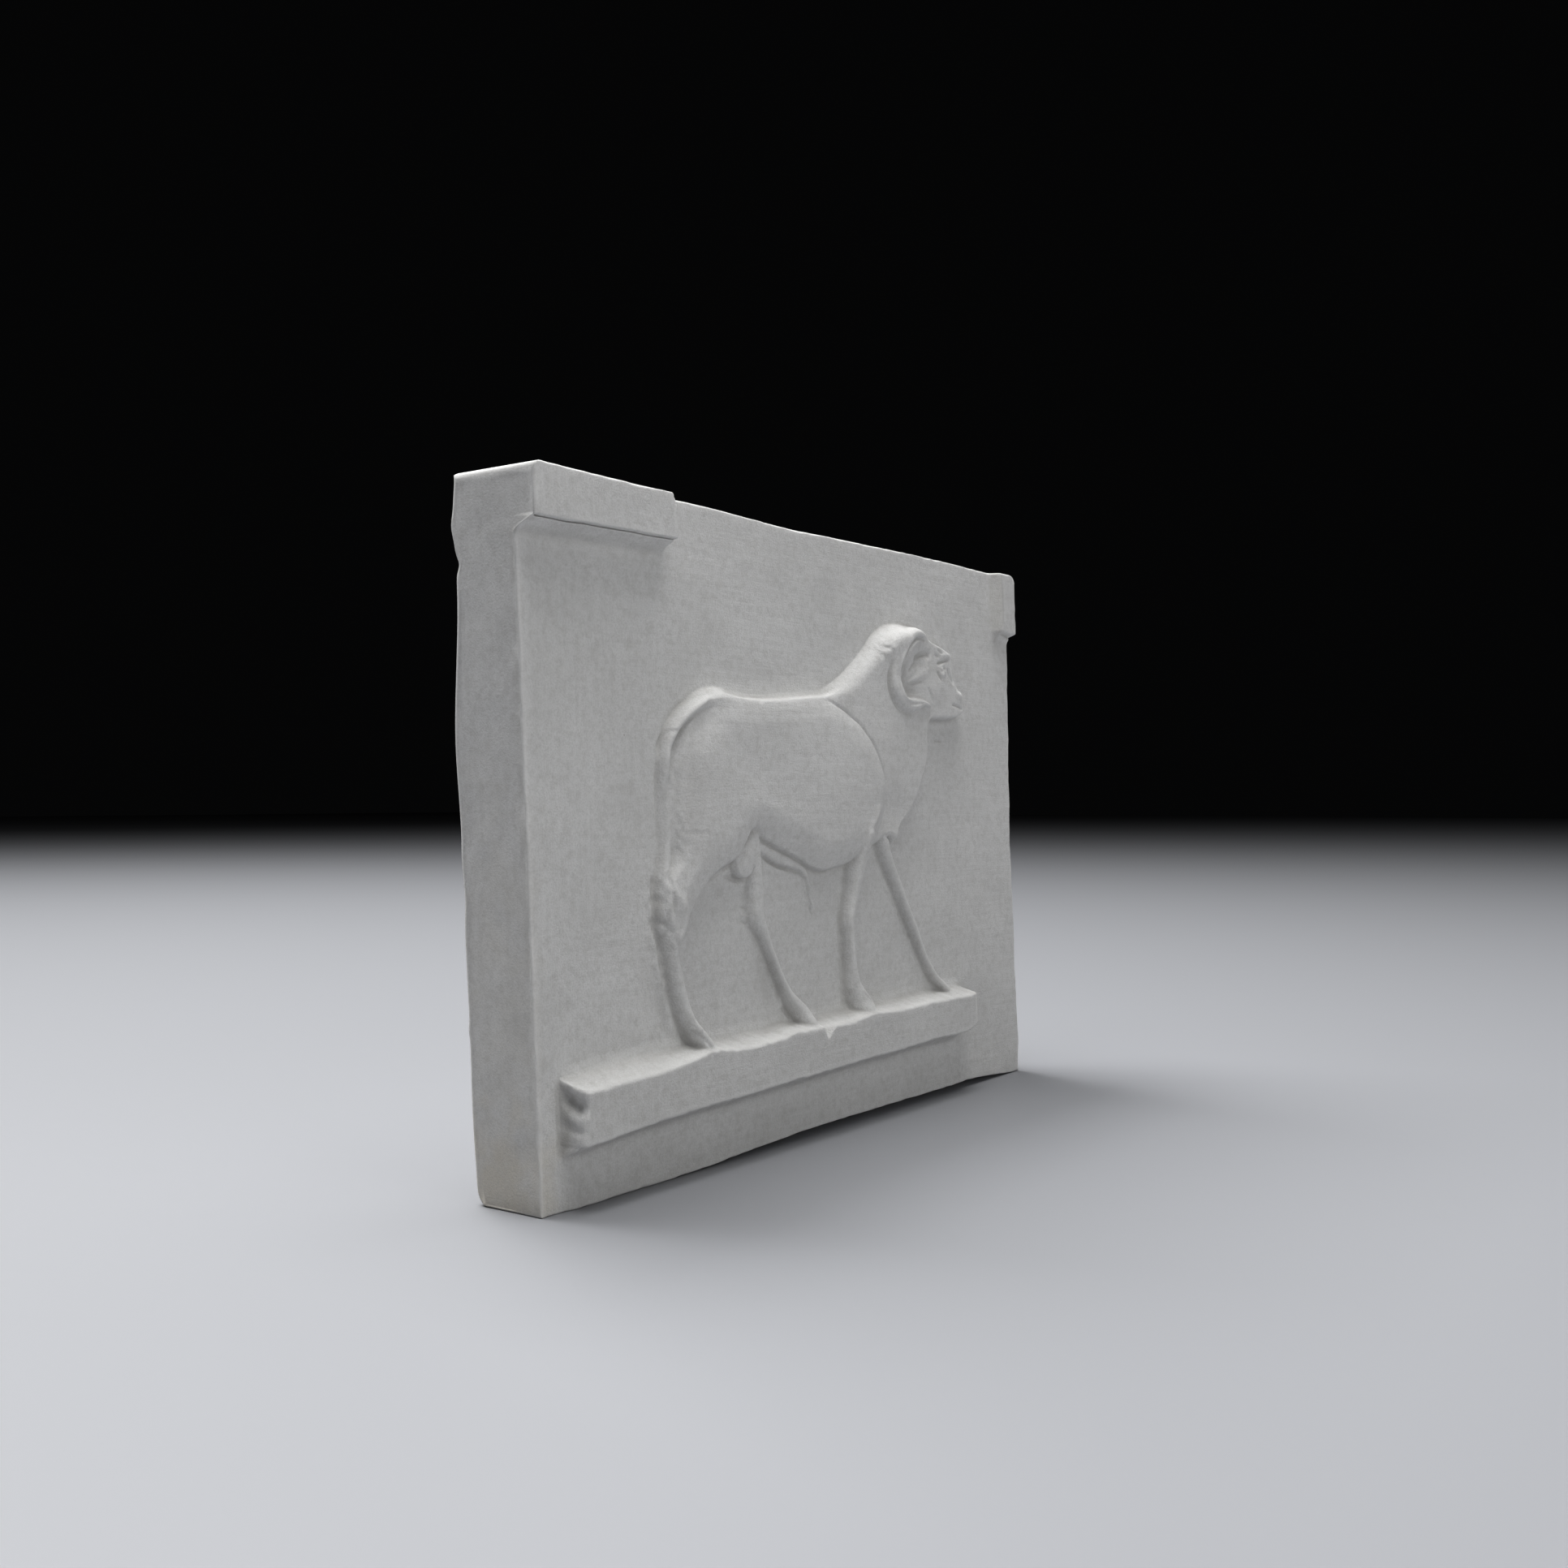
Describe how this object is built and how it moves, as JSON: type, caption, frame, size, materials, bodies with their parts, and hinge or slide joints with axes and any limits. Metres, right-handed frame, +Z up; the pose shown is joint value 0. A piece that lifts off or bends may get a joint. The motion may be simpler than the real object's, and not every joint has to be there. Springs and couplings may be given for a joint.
{
  "type": "plaster relief plaque",
  "caption": "Upright cast plaster tablet with a striding ram in low relief on a ground line and raised blocks in the upper corners.",
  "frame": {"origin": "middle of the tablet's box on the plane it stands on", "axes": "+X along the face to the right, +Y into the tablet away from the relief, +Z up"},
  "size_m": [0.1844, 0.0264, 0.132],
  "materials": {
    "plaster": "matte"
  },
  "bodies": {
    "root": {"relief_plaque": "plaster"}
  },
  "joints": []
}
